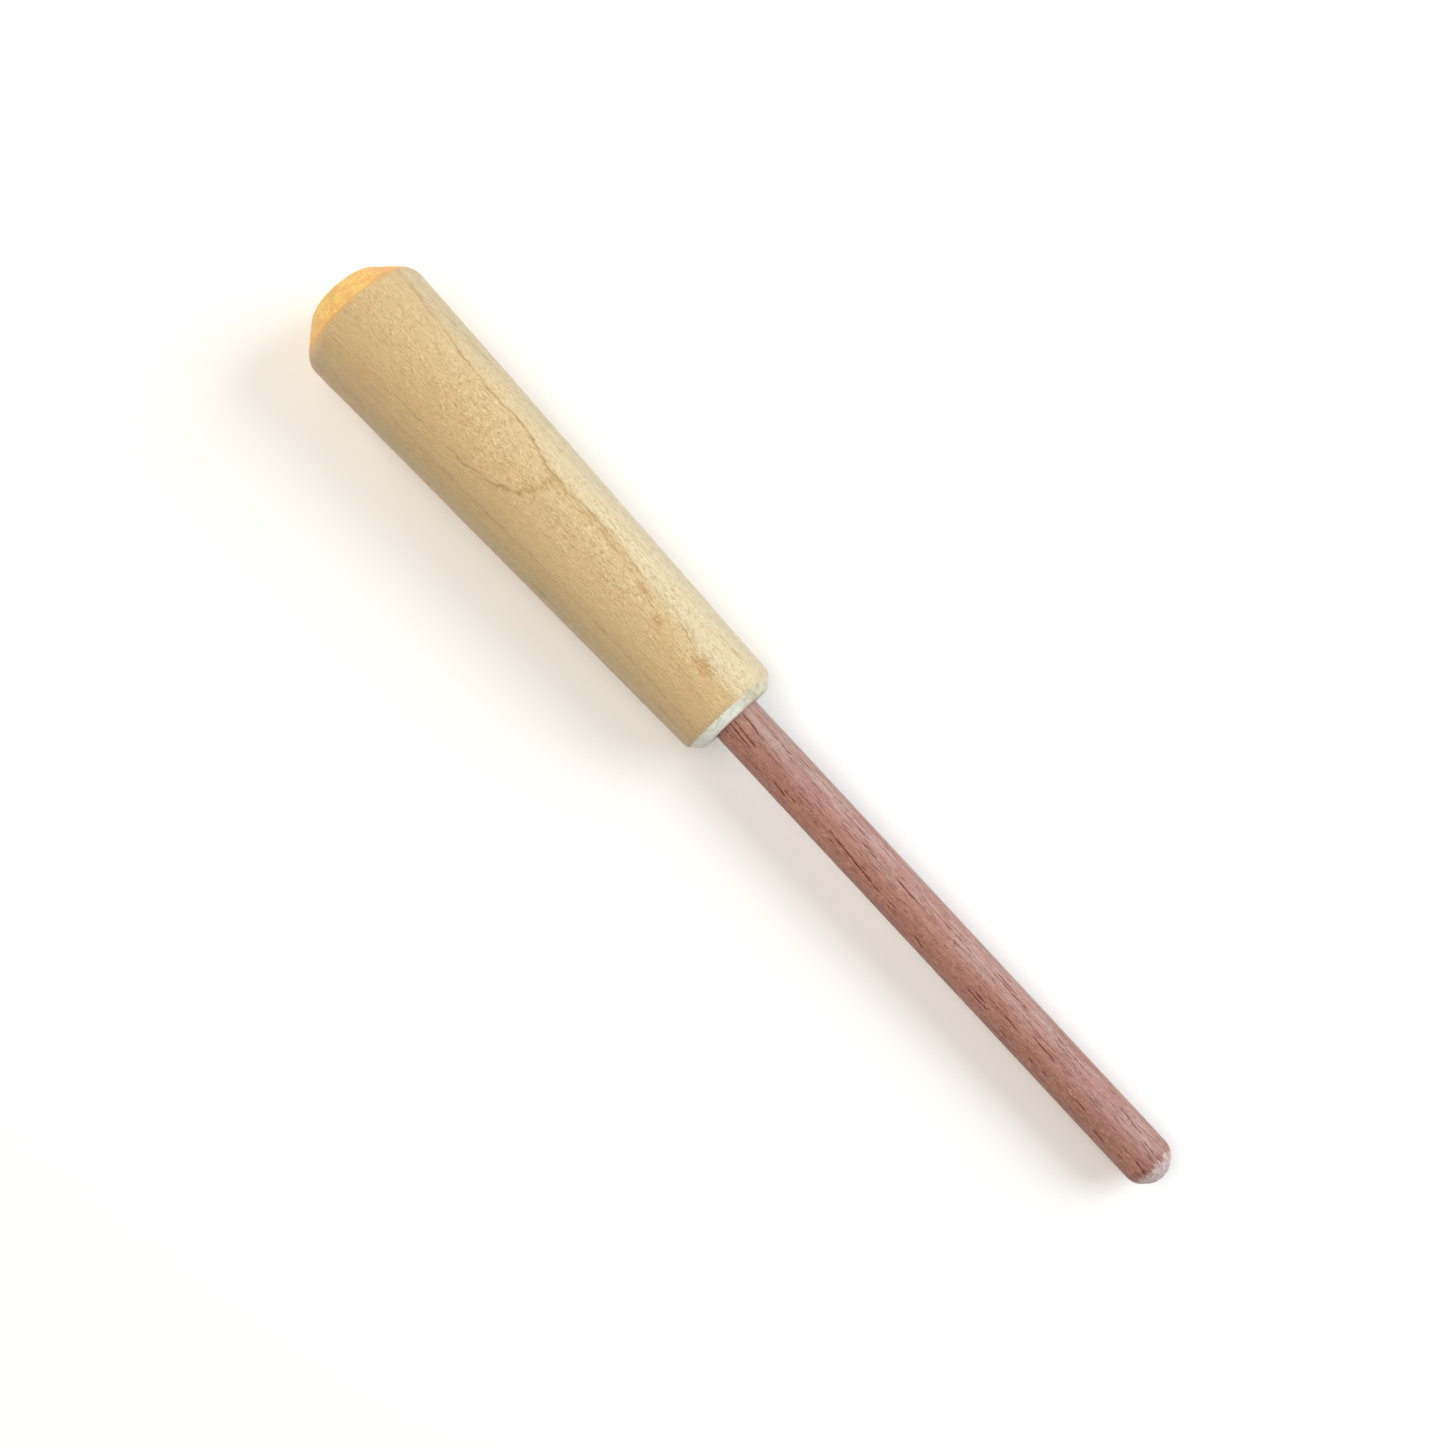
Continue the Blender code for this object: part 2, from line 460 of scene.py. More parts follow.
def stroke(s, y, z, start, end, width):
    """A fine line from one (y, z) to another: 1 on it, 0 beside it and past its ends."""
    slope = (end[0] - start[0]) / (end[1] - start[1])
    away = s.maths("SUBTRACT", y, s.maths("MULTIPLY_ADD", z, slope, start[0] - slope * start[1]))
    line = s.between(s.maths("ABSOLUTE", away), 0.2 * width, width, 1.0, 0.0)
    low = min(start[1], end[1])
    high = max(start[1], end[1])
    return s.times(line, s.window(z, (low, low + STROKE_END_MM), (high - STROKE_END_MM, high)))


def long_line(s, y, z):
    """The long dark line along the grain: how dark it is here, and how far the point is beyond it."""
    course = s.maths("ADD", s.between(z, 12, 26, 4.4, 6.5), s.between(z, 37, 50, 0, 1.1))
    course = s.maths("ADD", course, s.between(z, 71, 86, 0, 2.8))
    course = s.maths("ADD", course, s.between(z, 96, 133, 0, 3.2))
    beyond = s.maths("SUBTRACT", y, course)
    line = s.between(s.maths("ABSOLUTE", beyond), 0.06, 0.42, 1.0, 0.0)
    line = s.times(line, s.between(z, 12, 18))
    line = s.times(line, s.between(z, 62, 72, 0.42, 1.0))
    line = s.times(line, s.between(z, 104, 116, 1.0, 0.45))
    return line, beyond


def u_ring(s, y, z, beyond):
    """A ring in a U: how dark its line is here, and how stained the wood round it.

    It is a hyperbola: along the grain on one side, and across it where it meets the long line.
    """
    across = s.maths("ADD", y, 8.2)
    along = s.maths("SUBTRACT", z, 67.0)
    off = s.distance(s.times(across, along), 45.0)
    width = s.maths("ADD", s.times(across, 0.55), s.times(along, 0.05))
    nearness = s.maths("DIVIDE", off, s.largest(width, 0.4))
    inside = s.times(s.between(along, 0.0, 1.0), s.between(across, 0.1, 0.5))
    inside = s.times(inside, s.between(beyond, -0.4, 0.2, 1.0, 0.0))
    bend = s.between(nearness, 0.2, 2.0, 1.0, 0.0)
    bend = s.times(bend, s.between(across, 9.5, 13.0, 0.95, 0.35))
    bend = s.times(bend, s.between(across, 0.6, 3.0, 0.70, 1.0), inside)
    stain = s.times(s.between(nearness, 0.6, 4.0, 0.9, 0.0), inside)
    return bend, s.times(stain, s.between(across, 2.5, 6.5))


def lower_line(s, y, z):
    """The faint dark line along the grain on the -Y side."""
    away = s.maths("ABSOLUTE", s.maths("ADD", y, s.between(z, 35, 110, 8.8, 11.3)))
    return s.times(s.between(away, 0.03, 0.30, 0.48, 0.0), s.between(z, 88, 100, 1.0, 0.45))


def upper_figure(s, place):
    """The figure on the side that lies up: a long line along the grain, and a ring that leaves it in a U.

    Returns how dark the lines are here, how stained the wood round them is, how far the point is
    beyond the long line, and the upper side.
    """
    moved = s.shaken(place, place, (0.0, 2.2, 5.0), (0.7, 0.7, 0.24), detail=4.0)
    moved = s.shaken(moved, place, (0.0, 0.7, 1.2), (1.8, 1.8, 0.6))
    _, y, z = s.split(moved)
    x, _, _ = s.split(place)
    upper_side = s.between(x, 0.5, 3.5)
    patches = s.noise(place, (0.5, 0.5, 0.16), detail=3.0)
    flecks = s.noise(place, (1.5, 1.5, 0.45), detail=3.0, distortion=0.8)

    line, beyond = long_line(s, y, z)
    bend, round_u = u_ring(s, y, z, beyond)
    lines = s.largest(line, bend, lower_line(s, y, z))
    for start, end, width, darkness in FIGURE_STROKES:
        lines = s.largest(lines, s.times(stroke(s, y, z, start, end, width), darkness))
    lines = s.times(lines, s.between(patches, 0.34, 0.56, 0.45, 1.0), upper_side)

    # Between the U and the neck the wood along the line is stained, in flecks.
    beside = s.between(s.maths("ABSOLUTE", s.maths("ADD", beyond, 0.5)), 0.3, 1.7, 1.0, 0.0)
    beside = s.times(beside, s.between(z, 34, 44), s.between(z, 66, 78, 1.0, 0.15))
    stain = s.largest(beside, round_u)
    stain = s.times(stain, s.between(flecks, 0.44, 0.56, 0.15, 1.0), upper_side)
    return lines, stain, beyond, upper_side


def spot(s, place, centre, size):
    """A soft round mark of that size: 1 in its middle, 0 outside."""
    away = s.vector("DIVIDE", s.vector("SUBTRACT", place, centre), size)
    return s.between(s.vector("LENGTH", away), 0.25, 1.0, 1.0, 0.0)


def maple_tones(s, place, ring_tone, beyond, upper_side):
    """The side's slow changes of tone: paler beyond the long line, partly the wood's figure and partly a
    painted sheen; lighter on the +Y side, a painted light; and greyer on both flanks, a painted shade.
    """
    _, y, height = s.split(place)
    broad = s.noise(place, (0.07, 0.07, 0.016), detail=3.0, roughness=0.55)
    streaks = s.noise(place, (1.1, 1.1, 0.035), detail=3.0, roughness=0.6)
    tan = (0.612, 0.418, 0.197)
    straw = (0.664, 0.468, 0.233)
    pale_ring = (0.669, 0.537, 0.334)
    lit_side_straw = (0.678, 0.500, 0.262)
    cream = (0.715, 0.606, 0.386)
    brown = (0.458, 0.304, 0.145)
    shade_grey = (0.385, 0.345, 0.262)

    side = s.blend(s.between(broad, 0.3, 0.7), tan, straw)
    side = s.blend(s.between(ring_tone, 0.0, 1.0, 0.0, 0.14), side, pale_ring)
    # Lighter and more golden on the +Y side, towards the neck: painted light, where the light falls.
    lit_side = s.times(s.between(y, 0.0, 5.0), s.between(height, 60, 110, 0.90, 0.35))
    side = s.blend(lit_side, side, lit_side_straw)
    # Paler beyond the long line: partly the wood's own figure, partly a painted sheen of the light from
    # the +Y side.
    into_pale = s.maths("ADD", beyond, s.between(height, 26, 55, 1.6, 0.0))
    pale = s.times(s.between(into_pale, -0.3, 1.6), upper_side)
    pale = s.times(pale, s.between(height, 55, 100, 0.90, 0.38))
    side = s.blend(pale, side, cream)
    side = s.blend(s.between(streaks, 0.42, 0.62, 0.0, 0.16), side, brown)
    # Greyer towards both flanks: painted shade.
    outwards = s.maths("ADD", s.maths("ABSOLUTE", y), s.between(height, 10.0, 130.0, 2.0, 0.0))
    flank_shade = s.times(s.between(outwards, 11.5, 15.5), s.between(streaks, 0.35, 0.60, 0.21, 0.41))
    return s.blend(flank_shade, side, shade_grey)


def maple_fibres(s, side, place, ticks, glints):
    """Raised fibres, some dark and some with painted glints, both stronger on the +Y side where the light
    falls, a painted light and shade, and the faint mark that a tool left across them.
    """
    _, y, height = s.split(place)
    dark = (0.385, 0.236, 0.092)
    glint_highlight = (0.840, 0.690, 0.430)
    scratched = (0.800, 0.640, 0.380)

    speckle_in_light = s.between(y, -6.0, 3.0, 0.55, 1.70)  # how strong the speckle is here: stronger on the +Y side, where the light falls, a painted light and shade
    speckle_in_light = s.times(speckle_in_light, s.between(y, 6.0, 14.0, 1.0, 0.70))
    speckle_in_light = s.times(speckle_in_light, s.between(height, 22.0, 42.0, 0.85, 1.0))
    speckle_in_light = s.times(speckle_in_light, s.between(height, 100.0, 122.0, 1.0, 0.75))
    side = s.blend(s.times(s.between(ticks, 0.50, 0.63, 0.0, 0.40), speckle_in_light), side, dark)
    # The lit flecks: painted glints.
    side = s.blend(s.times(s.between(glints, 0.52, 0.66, 0.0, 0.36), speckle_in_light), side, glint_highlight)
    tool_mark = s.between(s.distance(height, TOOL_MARK_MM), 0.1, 0.5, 0.50, 0.0)
    tool_mark = s.times(tool_mark, s.between(glints, 0.42, 0.56), s.window(y, (-7.5, -5.0), (5.5, 8.0)))
    return s.blend(tool_mark, side, scratched)


def maple_marks(s, side, place, ticks, rings, stain, figure):
    """The lines of the rings and of the figure, the stain beside them, the blotch and the knots."""
    side = s.blend(s.times(rings, 0.52), side, (0.334, 0.198, 0.088))
    side = s.blend(s.times(stain, 0.55), side, (0.480, 0.280, 0.105))
    side = s.blend(s.times(figure, 0.68), side, (0.320, 0.176, 0.062))
    broken = s.between(ticks, 0.40, 0.60, 0.35, 1.0)
    blotch = s.times(spot(s, place, BLOTCH_MM, BLOTCH_SIZE_MM), broken)
    side = s.blend(s.times(blotch, 0.85), side, (0.465, 0.240, 0.085))
    for knot_mm in KNOTS_MM:
        knot = s.times(spot(s, place, knot_mm, KNOT_SIZE_MM), broken)
        side = s.blend(s.times(knot, 0.85), side, (0.420, 0.230, 0.078))
    return side


def dome_colour(s, place, frayed, rings):
    """Amber end grain, partly the wood's own colour and partly a painted warm light, darker and more
    orange towards both flanks as a painted shade, with a thin burnt line along its edge.
    """
    _, y, _ = s.split(place)
    grain_ends = s.noise(place, (2.2, 0.8, 2.2), detail=3.0, roughness=0.6, distortion=0.5)
    cloud = s.noise(place, (0.22, 0.22, 0.22), detail=2.0)
    # The amber is partly the end grain's own colour, partly a painted warm light.
    dome = s.blend(s.between(cloud, 0.42, 0.58), (0.840, 0.480, 0.115), (0.910, 0.620, 0.155))
    # Darker and more orange towards both flanks: painted shade.
    shade_to_flanks = s.between(s.maths("ABSOLUTE", y), 5.0, 13.0, 0.0, 0.8)
    dome = s.blend(shade_to_flanks, dome, (0.800, 0.400, 0.108))
    dome = s.blend(s.times(rings, 0.60), dome, (0.640, 0.300, 0.060))
    dome = s.blend(s.between(grain_ends, 0.50, 0.62, 0.0, 0.60), dome, (0.690, 0.350, 0.080))
    dome = s.blend(s.between(grain_ends, 0.38, 0.48, 0.35, 0.0), dome, (0.930, 0.720, 0.270))
    edge_line = s.between(frayed, DOME_EDGE_MM + 0.2, DOME_EDGE_MM + 1.0, 0.55, 0.0)
    return s.blend(edge_line, dome, (0.700, 0.330, 0.085))


def neck_colour(s, place, rings):
    """The cut chamfer and end face: mottled and nearly white, partly the cut wood and partly a painted
    cool light, and warmer on the +Y side.
    """
    _, y, _ = s.split(place)
    mottle = s.between(s.noise(place, (0.8, 0.8, 0.8), detail=3.0, roughness=0.55), 0.36, 0.62)
    # Nearly white and cool: partly the cut wood, partly a painted cool light.
    neck = s.blend(mottle, (0.700, 0.725, 0.625), (0.860, 0.860, 0.750))
    neck = s.blend(s.times(rings, 0.30), neck, (0.450, 0.390, 0.260))
    neck_warm = s.blend(mottle, (0.510, 0.455, 0.300), (0.680, 0.612, 0.425))
    return s.blend(s.between(y, 0.5, 6.0, 0.0, 0.92), neck, neck_warm)


def maple():
    """Pale, close-grained maple: the side, the amber end grain of the dome, and the pale cut neck; the
    amber and the near white of the neck are partly painted warm and cool light.
    """
    s = Shading("maple")
    place = s.millimetres()
    _, _, height = s.split(place)
    rings, ring_tone = growth_rings(s, place)
    figure, stain, beyond, upper_side = upper_figure(s, place)
    rings = s.times(rings, s.between(upper_side, 0.0, 1.0, 1.0, 0.12))
    rings = s.times(rings, s.between(s.noise(place, (0.12, 0.12, 0.03)), 0.38, 0.62, 0.3, 1.0))
    ticks = s.noise(place, (2.6, 2.6, 0.70), detail=3.0, roughness=0.58, distortion=0.9)
    glints = s.noise(place, (2.3, 2.3, 0.90), detail=3.0, roughness=0.58, distortion=1.2)
    side = maple_tones(s, place, ring_tone, beyond, upper_side)
    side = maple_fibres(s, side, place, ticks, glints)
    side = maple_marks(s, side, place, ticks, rings, stain, figure)

    frays = s.noise(place, (1.6, 1.6, 0.12), detail=2.0, roughness=0.6)
    frayed = s.maths("ADD", height, s.between(frays, 0.35, 0.65, -0.10, 0.10))
    dome_share = s.between(frayed, DOME_EDGE_MM - 0.30, DOME_EDGE_MM + 0.30)
    neck_share = s.between(frayed, CHAMFER_EDGE_MM - 0.20, CHAMFER_EDGE_MM + 0.20, 1.0, 0.0)
    colour = s.blend(dome_share, side, dome_colour(s, place, frayed, rings))
    colour = s.blend(neck_share, colour, neck_colour(s, place, rings))
    s.feed(s.shader.inputs["Base Color"], colour)

    s.feed(s.shader.inputs["Roughness"], s.between(ticks, 0.35, 0.65, 0.42, 0.58))
    s.shader.inputs["Specular IOR Level"].default_value = 0.55
    turning = s.noise(place, (0.0, 0.0, 0.9), detail=1.0)
    relief = s.maths("SUBTRACT", glints, ticks)
    relief = s.maths("ADD", relief, s.times(turning, 0.5))
    relief = s.maths("SUBTRACT", relief, s.times(figure, 0.25))
    s.feed(s.shader.inputs["Normal"], s.bump(relief, 0.34 * MM))
    return s.material


# ---------------------------------------------------------------- handle

TIP_EDGE_MM = -145.0
# The random open pores: how many, their lengths and widths in mm, and how deep
PORES = [
    (95, (2.5, 8.0), (0.10, 0.16), (0.45, 0.95)),
    (430, (0.8, 3.2), (0.09, 0.13), (0.25, 0.70)),
]
PORE_SLANT = 0.02  # typical sideways run of a random pore, as a share of its length
RUBBED_TURN = 0.05  # either side of the top, where the random pores are shallower
RUBBED_DEPTH = 0.6  # of their depth elsewhere
GROOVE_DEPTH = 0.08 * MM
CRACK_WIDTH = 0.19 * MM
# The boldest open pores on the side that lies up: where each starts and ends (y, z in mm), and how deep
CRACKS = [
    ((2.0, 0.0), (1.4, -7.5), 1.0),
    ((-0.6, 0.0), (-1.4, -9.0), 0.9),
    ((-1.9, 0.0), (-2.4, -8.0), 1.0),
    ((3.8, -8.8), (3.7, -18.5), 0.6),
    ((-3.8, -17.3), (-4.1, -22.0), 1.0),
    ((-1.8, -34.0), (-3.3, -54.5), 1.0),
    ((1.8, -38.4), (1.7, -50.0), 0.6),
    ((1.9, -52.8), (1.8, -62.5), 0.9),
    ((3.3, -65.5), (3.2, -80.0), 0.6),
    ((-2.7, -86.2), (-2.7, -90.0), 1.0),
    ((-3.5, -84.0), (-3.6, -92.0), 0.8),
    ((-1.4, -94.5), (-1.6, -99.5), 1.0),
    ((3.6, -85.2), (3.3, -101.0), 0.7),
    ((0.2, -102.5), (-0.2, -112.0), 0.9),
    ((4.0, -106.0), (3.8, -121.0), 0.6),
    ((3.9, -128.6), (3.1, -138.0), 0.8),
    ((-4.4, -128.6), (-4.7, -133.4), 1.0),
    ((-2.7, -120.0), (-2.8, -124.5), 0.9),
    ((-2.0, -140.5), (-2.9, -145.5), 1.0),
    ((2.3, -138.5), (2.0, -146.0), 0.7),
    ((-4.2, -67.0), (-4.8, -70.8), 0.9),
    ((-4.6, -96.5), (-4.6, -99.3), 0.9),
    ((-3.9, -106.0), (-4.4, -108.4), 0.9),
    ((-3.8, -110.0), (-3.8, -112.8), 0.8),
    ((-3.9, -137.0), (-4.2, -139.0), 0.9),
]


def handle_profile():
    return rounded_profile(
        [
            (DOWEL_RADIUS, FINE_INTO_BORE, 0),
            (DOWEL_RADIUS, TIP_EASE_LENGTH - GRIP_LENGTH, 0),
            (TIP_BEVEL_RADIUS, TIP_BEVEL_DEPTH - GRIP_LENGTH, TIP_ROUNDING),
            (TIP_FLAT_RADIUS, -GRIP_LENGTH, TIP_ROUNDING),
            (0, -GRIP_LENGTH, 0),
        ]
    )


def tenon_profile():
    corners = [
        (0, TENON_LENGTH),
        (DOWEL_RADIUS - TENON_CHAMFER, TENON_LENGTH),
        (DOWEL_RADIUS, TENON_LENGTH - TENON_CHAMFER),
        (DOWEL_RADIUS, FINE_INTO_BORE),
    ]
    return [Vector(corner) for corner in corners]


def grain_lines(random):
    """The open pores, as (turn, height) of both ends, width and depth: the bold ones, then the random."""
    lines = []
    for (start_y, start_z), (end_y, end_z), depth in CRACKS:
        start_turn = 0.5 + math.asin(start_y * MM / DOWEL_RADIUS) / (2 * math.pi)
        end_turn = 0.5 + math.asin(end_y * MM / DOWEL_RADIUS) / (2 * math.pi)
        lines.append(((start_turn, start_z * MM), (end_turn, end_z * MM), CRACK_WIDTH, depth))
    for count, lengths, widths, depths in PORES:
        for _ in range(count):
            length = random.uniform(*lengths) * MM
            width = random.uniform(*widths) * MM
            depth = random.uniform(*depths)
            turn = random.uniform(0, 1)
            if abs(turn - 0.5) < RUBBED_TURN:
                depth *= RUBBED_DEPTH
            height = random.uniform(-GRIP_LENGTH, FINE_INTO_BORE)
            slant = random.normal(0, PORE_SLANT) * length / (4 * math.pi * DOWEL_RADIUS)
            start = (turn - slant, height + length / 2)
            end = (turn + slant, height - length / 2)
            lines.append((start, end, width, depth))
    return lines


def handle_relief(turn, height, radius):
    """Open pores: long, narrow, wavy grooves that follow the grain."""
    noise = Noise(seed=23)
    grooves = np.zeros_like(turn)
    circumference = 2 * math.pi * DOWEL_RADIUS
    for start, end, width, depth in grain_lines(noise.random):
        wave = noise.random.uniform(0.02, 0.10) * MM
        wavelength = noise.random.uniform(3.0, 8.0) * MM
        phase = noise.random.uniform(0, 2 * math.pi)
        middle_height = (start[1] + end[1]) / 2
        half_length = (start[1] - end[1]) / 2
        rows = np.abs(height[:, 0] - middle_height) < half_length
        if not rows.any():
            continue
        share = (start[1] - height[rows]) / (2 * half_length)
        line_turn = start[0] + share * (end[0] - start[0])
        aside = ((turn[rows] - line_turn + 0.5) % 1.0 - 0.5) * circumference
        swing = 2 * math.pi * height[rows] / wavelength + phase
        aside = aside - wave * (np.sin(swing) + 0.5 * np.sin(2.7 * swing))
        narrowing = np.clip(4 * share * (1 - share), 0, 1) ** 0.4
        breaks = 0.8 + 0.2 * np.sin(1.9 * swing)
        groove = depth * narrowing * breaks * np.exp(-((aside / width) ** 2))
        grooves[rows] = np.maximum(grooves[rows], groove)
    off_tip = np.clip((height + GRIP_LENGTH - 1.5 * MM) / (1.5 * MM), 0, 1)
    grooves = grooves * off_tip * (height < 0.5 * MM)
    waves = 0.02 * noise.layer(turn, height, 5, 30 * MM) + 0.010 * noise.layer(turn, height, 60, 5 * MM)
    return waves * MM - GROOVE_DEPTH * grooves, {"pore": grooves}


def mahogany_tones(s, place):
    """The side's slow changes of tone: lighter and browner on the -Y side, a painted fill light; a
    painted grey sheen on the other; and darker towards both flanks, a painted shade.
    """
    _, y, height = s.split(place)
    broad = s.noise(place, (0.10, 0.10, 0.035), detail=2.0)
    clouds = s.noise(place, (0.30, 0.30, 0.075), detail=3.0, roughness=0.55)
    side = s.blend(s.between(broad, 0.40, 0.60), (0.385, 0.166, 0.112), (0.372, 0.164, 0.140))
    # Lighter and browner on the -Y side: painted fill light.
    side = s.blend(s.between(y, -4.5, 0.0, 0.70, 0.0), side, (0.455, 0.204, 0.136))
    # A patchy grey-mauve on the +Y side: painted sheen.
    painted_sheen = s.times(s.between(clouds, 0.38, 0.56, 0.3, 1.0), s.between(y, -1.5, 3.5, 0.10, 0.95))
    side = s.blend(painted_sheen, side, (0.430, 0.288, 0.262))
    # Darker towards both flanks: painted shade.
    shade_to_flanks = s.between(s.maths("ABSOLUTE", y), 4.4, 6.2, 0.0, 0.60)
    side = s.blend(shade_to_flanks, side, (0.290, 0.138, 0.102))
    side = s.blend(s.between(height, -150.0, -20.0, 0.20, 0.0), side, (0.270, 0.120, 0.092))
    # Greyer on the +Y side near the head: painted sheen.
    sheen_near_head = s.times(s.between(height, -34.0, -10.0, 0.0, 0.45), s.between(y, 1.0, 3.5))
    return s.blend(sheen_near_head, side, (0.375, 0.292, 0.250))


def mahogany_grain(s, side, place, ticks, cracks, pore):
    """Bands and hairlines along the grain, torn ticks, fine cracks, and the open pores."""
    _, y, _ = s.split(place)
    bands = s.noise(place, (1.0, 1.0, 0.050), detail=3.0, roughness=0.6, distortion=0.4)
    hairlines = s.noise(place, (2.6, 2.6, 0.060), detail=2.0, roughness=0.6, distortion=0.3)
    streaky = s.between(y, 0.5, 3.5, 0.70, 1.35)  # the +Y side has more bands, the other more ticks
    ragged = s.between(y, -3.0, -0.5, 1.50, 0.75)
    layers = [
        (s.times(s.between(bands, 0.50, 0.62, 0.0, 0.36), streaky), (0.262, 0.092, 0.056)),
        (s.times(s.between(hairlines, 0.55, 0.64, 0.0, 0.42), streaky), (0.235, 0.100, 0.070)),
        (s.times(s.between(bands, 0.36, 0.47, 0.28, 0.0), streaky), (0.450, 0.245, 0.195)),
        (s.times(s.between(ticks, 0.54, 0.64, 0.0, 0.38), ragged), (0.580, 0.320, 0.235)),
        (s.times(s.between(ticks, 0.36, 0.46, 0.34, 0.0), ragged), (0.250, 0.085, 0.052)),
        (s.between(cracks, 0.58, 0.64, 0.0, 0.45), (0.205, 0.048, 0.026)),
        (s.between(pore, 0.15, 0.50, 0.0, 0.92), (0.135, 0.014, 0.004)),
    ]
    for share, colour in layers:
        side = s.blend(share, side, colour)
    return side


def pale_tip(s, side, place):
    """The side, ending in dark streaks, and past them the tip, pale and cloudy: partly worn, partly a
    painted cool light.
    """
    _, _, height = s.split(place)
    cloud = s.noise(place, (0.9, 0.9, 0.9), detail=3.0)
    # The tip's pale colour: partly wear, partly a painted cool light on the bevel.
    worn_in_cool_light = s.blend(s.between(cloud, 0.40, 0.60), (0.455, 0.330, 0.318), (0.600, 0.480, 0.470))
    frays = s.noise(place, (1.8, 1.8, 0.35), detail=3.0, roughness=0.6)
    frayed = s.maths("ADD", height, s.between(frays, 0.36, 0.64, -0.8, 0.8))
    streak_ends = s.window(height, (-145.5, -144.0), (-143.8, -141.8))
    streak_ends = s.times(streak_ends, s.between(frays, 0.46, 0.58, 0.0, 0.65))
    side = s.blend(streak_ends, side, (0.205, 0.055, 0.032))
    pale_tip_share = s.between(frayed, TIP_EDGE_MM - 0.8, TIP_EDGE_MM + 0.5, 0.95, 0.0)
    return s.blend(pale_tip_share, side, worn_in_cool_light)


def mahogany():
    """Reddish, open-pored mahogany, browner in streaks, with painted sheen and shade on its side, and
    pale at the tip, partly worn and partly a painted cool light.
    """
    s = Shading("mahogany")
    place = s.millimetres()
    cracks = s.noise(place, (2.2, 2.2, 0.20), detail=3.0, roughness=0.6, distortion=1.0)
    ticks = s.noise(place, (1.7, 1.7, 0.80), detail=3.0, roughness=0.6, distortion=1.4)
    side = mahogany_tones(s, place)
    side = mahogany_grain(s, side, place, ticks, cracks, s.attribute("pore"))
    s.feed(s.shader.inputs["Base Color"], pale_tip(s, side, place))

    s.feed(s.shader.inputs["Roughness"], s.between(ticks, 0.35, 0.65, 0.40, 0.56))
    s.shader.inputs["Specular IOR Level"].default_value = 0.38
    relief = s.maths("SUBTRACT", ticks, s.between(cracks, 0.55, 0.66, 0.0, 0.35))
    s.feed(s.shader.inputs["Normal"], s.bump(relief, 0.22 * MM))
    return s.material


# ---------------------------------------------------------------- glue


def glue_profile():
    pool_top = BORE_DEPTH - GLUE_END_GAP
    pool_bottom = TENON_LENGTH + GLUE_END_GAP
    corners = [
        (0, pool_top),
        (GLUE_OUTSIDE, pool_top),
        (GLUE_OUTSIDE, GLUE_END_GAP),
        (GLUE_INSIDE, GLUE_END_GAP),
        (GLUE_INSIDE, TENON_LENGTH - TENON_CHAMFER + GLUE_END_GAP),
        (GLUE_INSIDE - TENON_CHAMFER, pool_bottom),
        (0, pool_bottom),
    ]
    return [Vector(corner) for corner in corners]


def cured_glue():
    """Yellowish wood glue, cured hard, a little cloudy."""
    s = Shading("cured_glue")
    cloud = s.noise(s.millimetres(), (0.5, 0.5, 0.5), detail=2.0)
    colour = s.blend(s.between(cloud, 0.35, 0.65), (0.458, 0.352, 0.176), (0.581, 0.484, 0.282))
    s.feed(s.shader.inputs["Base Color"], colour)
    s.shader.inputs["Roughness"].default_value = 0.35
    return s.material


# ---------------------------------------------------------------- stage, camera, light

CAMERA_DISTANCE = 0.565175  # from the mallet's axis, where it passes the picture's middle
PICTURE_SIDE = 0.3475225  # how wide the view is at that distance
SENSOR = 36.0
AXIS_TURN = math.radians(47.0711)  # of the axis, clockwise from the picture's right to the handle's tip
AXIS_OFFSET = 3.0303 * MM  # of the axis from the picture's middle, to the upper right
MIDDLE_HEIGHT = 0.0015  # of the point on the axis that is opposite the picture's middle
TIP_TOWARDS_CAMERA = math.radians(2.2)
FLOOR_SIDE = 6.0
FLOOR_DROP = 0.05 * MM  # below the frame's floor level, so that it doesn't cut the mallet


def add_camera():
    """Looks down on the mallet, nearly square to it, with the handle's tip slightly nearer."""
    matrix = lying_matrix()
    along = -(matrix.to_3x3() @ Vector((0, 0, 1)))
    facing = matrix.to_3x3() @ Vector((1, 0, 0))
    back = facing * math.cos(TIP_TOWARDS_CAMERA) + along * math.sin(TIP_TOWARDS_CAMERA)
    flat_along = (along - back * along.dot(back)).normalized()
    flat_across = back.cross(flat_along)
    right = flat_along * math.cos(AXIS_TURN) + flat_across * math.sin(AXIS_TURN)
    up = flat_across * math.cos(AXIS_TURN) - flat_along * math.sin(AXIS_TURN)
    middle = matrix @ Vector((0, 0, MIDDLE_HEIGHT))
    place = middle - flat_across * AXIS_OFFSET + back * CAMERA_DISTANCE
    data = bpy.data.cameras.new("camera")
    data.sensor_width = SENSOR
    data.lens = CAMERA_DISTANCE / PICTURE_SIDE * SENSOR
    data.clip_start = 0.01
    camera = bpy.data.objects.new("camera", data)
    rotation = Matrix((right, up, back)).transposed()
    camera.matrix_world = Matrix.Translation(place) @ rotation.to_4x4()
    bpy.context.scene.collection.objects.link(camera)
    bpy.context.scene.camera = camera


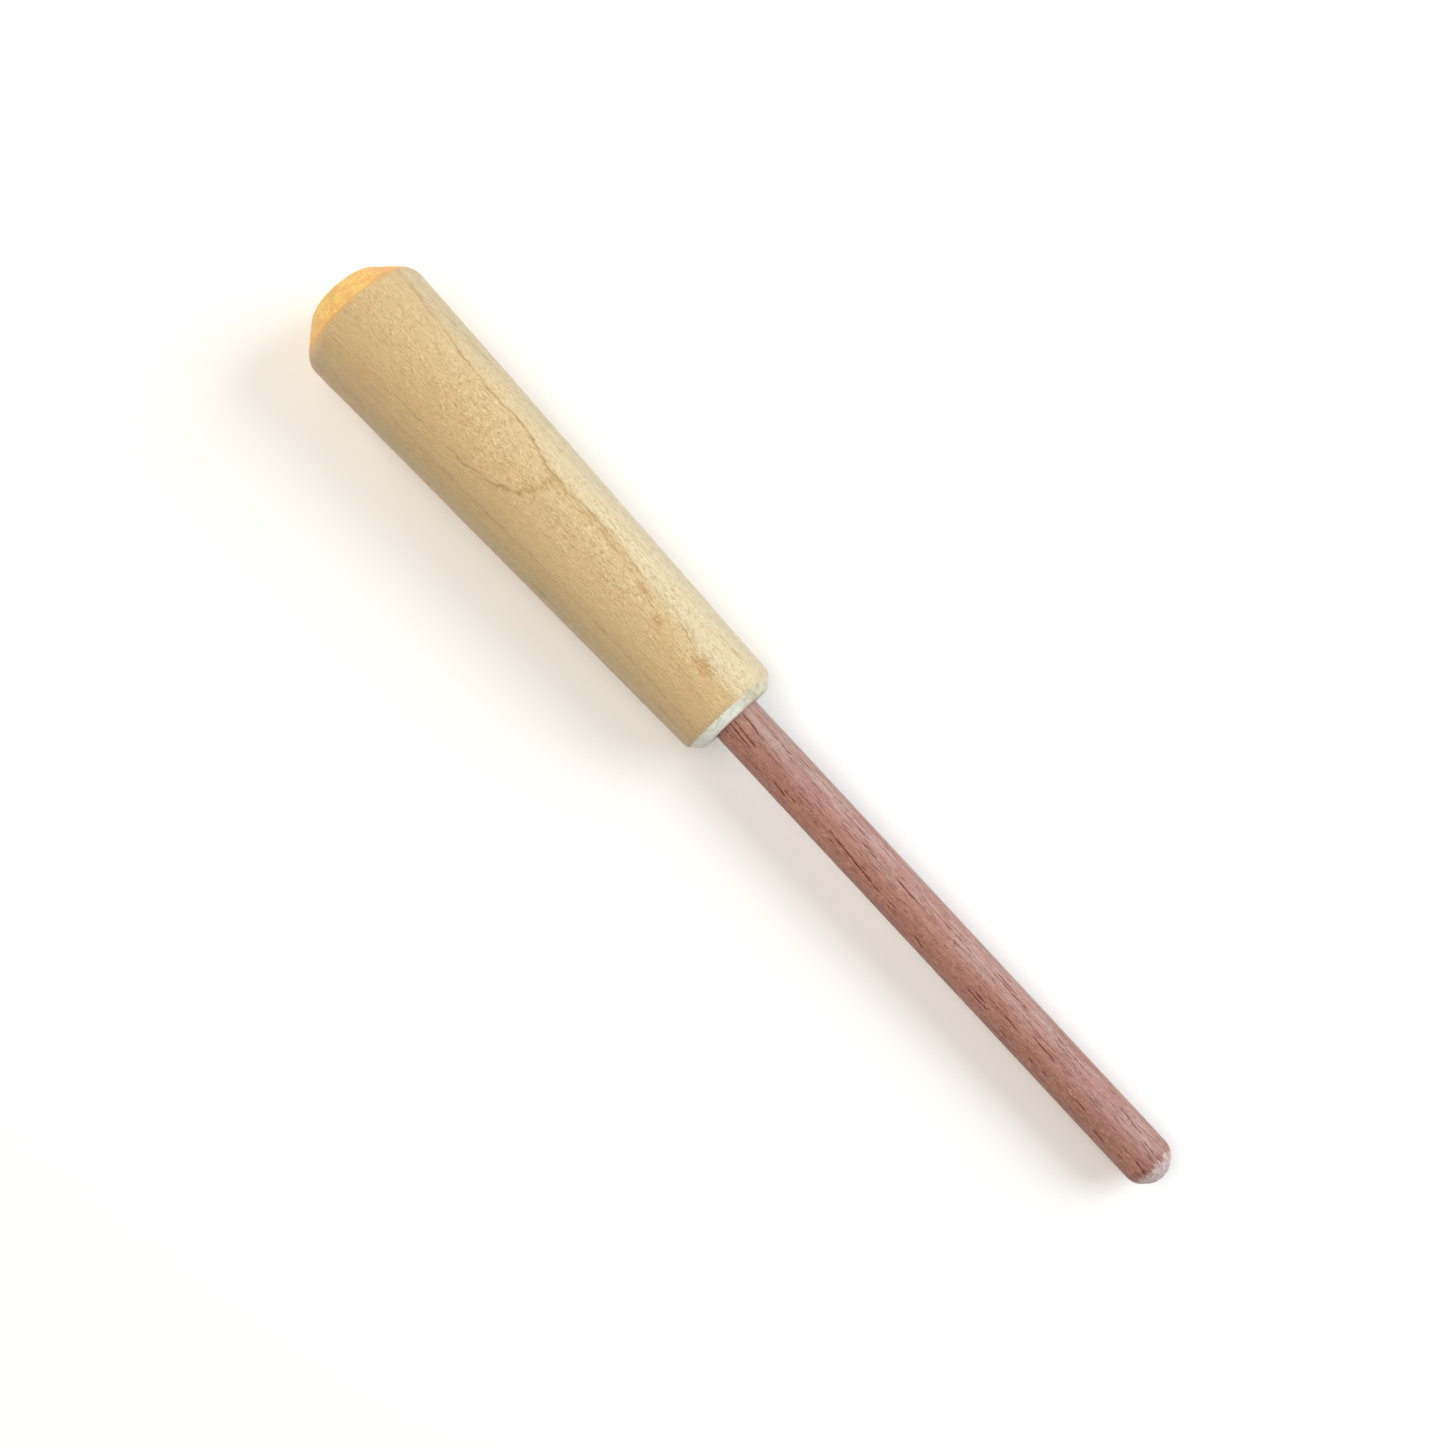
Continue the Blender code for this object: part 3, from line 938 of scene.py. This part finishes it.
def add_floor():
    mesh = bpy.data.meshes.new("floor")
    half = FLOOR_SIDE / 2
    corners = [(-half, -half, 0), (half, -half, 0), (half, half, 0), (-half, half, 0)]
    mesh.from_pydata(corners, [], [(0, 1, 2, 3)])
    floor = bpy.data.objects.new("floor", mesh)
    floor.location.z = -FLOOR_DROP
    s = Shading("floor")
    s.shader.inputs["Base Color"].default_value = (0.92, 0.92, 0.915, 1)
    s.shader.inputs["Roughness"].default_value = 0.9
    s.shader.inputs["Specular IOR Level"].default_value = 0.1
    mesh.materials.append(s.material)
    bpy.context.scene.collection.objects.link(floor)


def add_light(name, place, target, size, watts, colour):
    data = bpy.data.lights.new(name, "AREA")
    data.shape = "DISK"
    data.size = size
    data.energy = watts
    data.color = colour
    light = bpy.data.objects.new(name, data)
    light.location = place
    light.rotation_euler = (Vector(place) - Vector(target)).to_track_quat("Z", "Y").to_euler()
    bpy.context.scene.collection.objects.link(light)


def add_world(colour, strength):
    world = bpy.data.worlds.new("studio")
    world.use_nodes = True
    background = world.node_tree.nodes["Background"]
    background.inputs["Color"].default_value = (*colour, 1)
    background.inputs["Strength"].default_value = strength
    bpy.context.scene.world = world


def light_the_studio():
    middle = (0, 0, 0.015)
    add_light("window", (0.42, 0.84, 0.62), middle, 0.9, 12.0, (0.88, 0.95, 1.0))
    add_light("ceiling", (-0.20, -0.20, 1.05), middle, 0.9, 6.4, (1.0, 0.91, 0.80))
    add_light("lamp", (-0.90, 0.0, 0.30), middle, 0.5, 3.2, (1.0, 0.88, 0.70))
    add_world((0.97, 0.98, 1.0), 0.32)
    bpy.context.scene.view_settings.view_transform = "Standard"
    bpy.context.scene.view_settings.look = "None"


# ---------------------------------------------------------------- build

head_stretches = [(head_profile(), HEAD_STEP, 1), (bore_profile(), HIDDEN_STEP, HIDDEN_SHARE)]
head_mesh = turned_mesh("head", head_stretches, HEAD_SIDES, head_relief)
add_piece("turned_head", head_mesh, maple(), "head")

handle_stretches = [(tenon_profile(), HIDDEN_STEP, HIDDEN_SHARE), (handle_profile(), HANDLE_STEP, 1)]
handle_mesh = turned_mesh("handle", handle_stretches, HANDLE_SIDES, handle_relief)
add_piece("dowel_handle", handle_mesh, mahogany(), "handle")

glue_mesh = turned_mesh("glue", [(glue_profile(), HIDDEN_STEP, 1)], GLUE_SIDES)
add_piece("glue_film", glue_mesh, cured_glue(), "glue_line")

add_camera()
add_floor()
light_the_studio()
